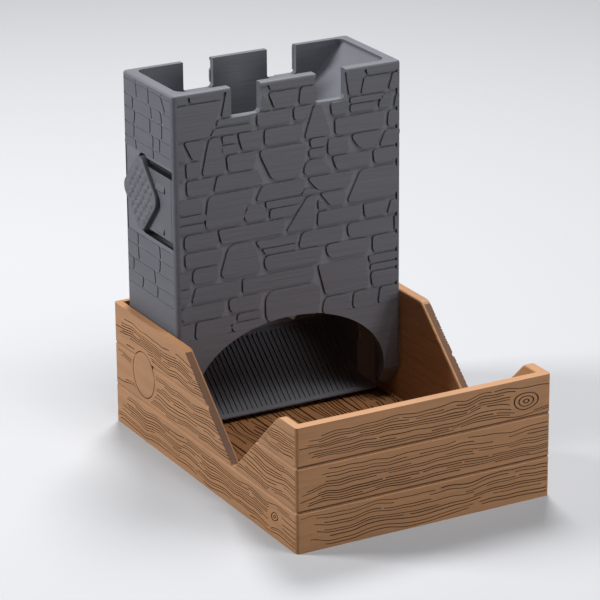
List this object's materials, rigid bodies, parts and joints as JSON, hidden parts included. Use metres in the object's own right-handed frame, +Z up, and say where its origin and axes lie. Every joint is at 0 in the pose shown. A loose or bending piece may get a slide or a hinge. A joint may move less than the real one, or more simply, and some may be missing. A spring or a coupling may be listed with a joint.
{
  "type": "folding dice tower",
  "caption": "Castle-shaped dice tower with stone walls standing in a wood-planked open tray; the tower tips forward on side pins and folds into the tray.",
  "frame": {"origin": "middle of the tray's underside, on the surface that it stands on", "axes": "+Z up, the tray's open end and the tower's arch face -Y, +X to the right as seen from the front; the tower stands upright at rest"},
  "size_m": [0.1, 0.1376, 0.1343],
  "materials": {
    "tower_grey": "dark grey printed plastic, stone courses outside",
    "tray_brown": "brown wood-filled printed plastic, plank grain outside"
  },
  "bodies": {
    "tray": {"tray_shell": "tray_brown", "hinge_pin_left": "tray_brown", "hinge_pin_right": "tray_brown"},
    "tower": {"tower_shell": "tower_grey", "upper_baffle": "tower_grey", "middle_baffle": "tower_grey", "exit_ramp": "tower_grey"},
    "latch_left": {"latch_tongue_left": "tower_grey", "latch_knob_left": "tower_grey"},
    "latch_right": {"latch_tongue_right": "tower_grey", "latch_knob_right": "tower_grey"}
  },
  "joints": [
    {"name": "tower_fold", "type": "hinge", "parent": "tray", "child": "tower", "pos_m": [0, 0.04535, 0.0257], "axis": [1, 0, 0], "range_deg": [0, 90]},
    {"name": "latch_left_press", "type": "hinge", "parent": "tower", "child": "latch_left", "pos_m": [-0.0445, 0.02895, 0.092], "axis": [0, 0, -1], "range_deg": [0, 4], "stiffness_Nm_per_rad": 0.4},
    {"name": "latch_right_press", "type": "hinge", "parent": "tower", "child": "latch_right", "pos_m": [0.0445, 0.02895, 0.092], "axis": [0, 0, 1], "range_deg": [0, 4], "stiffness_Nm_per_rad": 0.4}
  ]
}
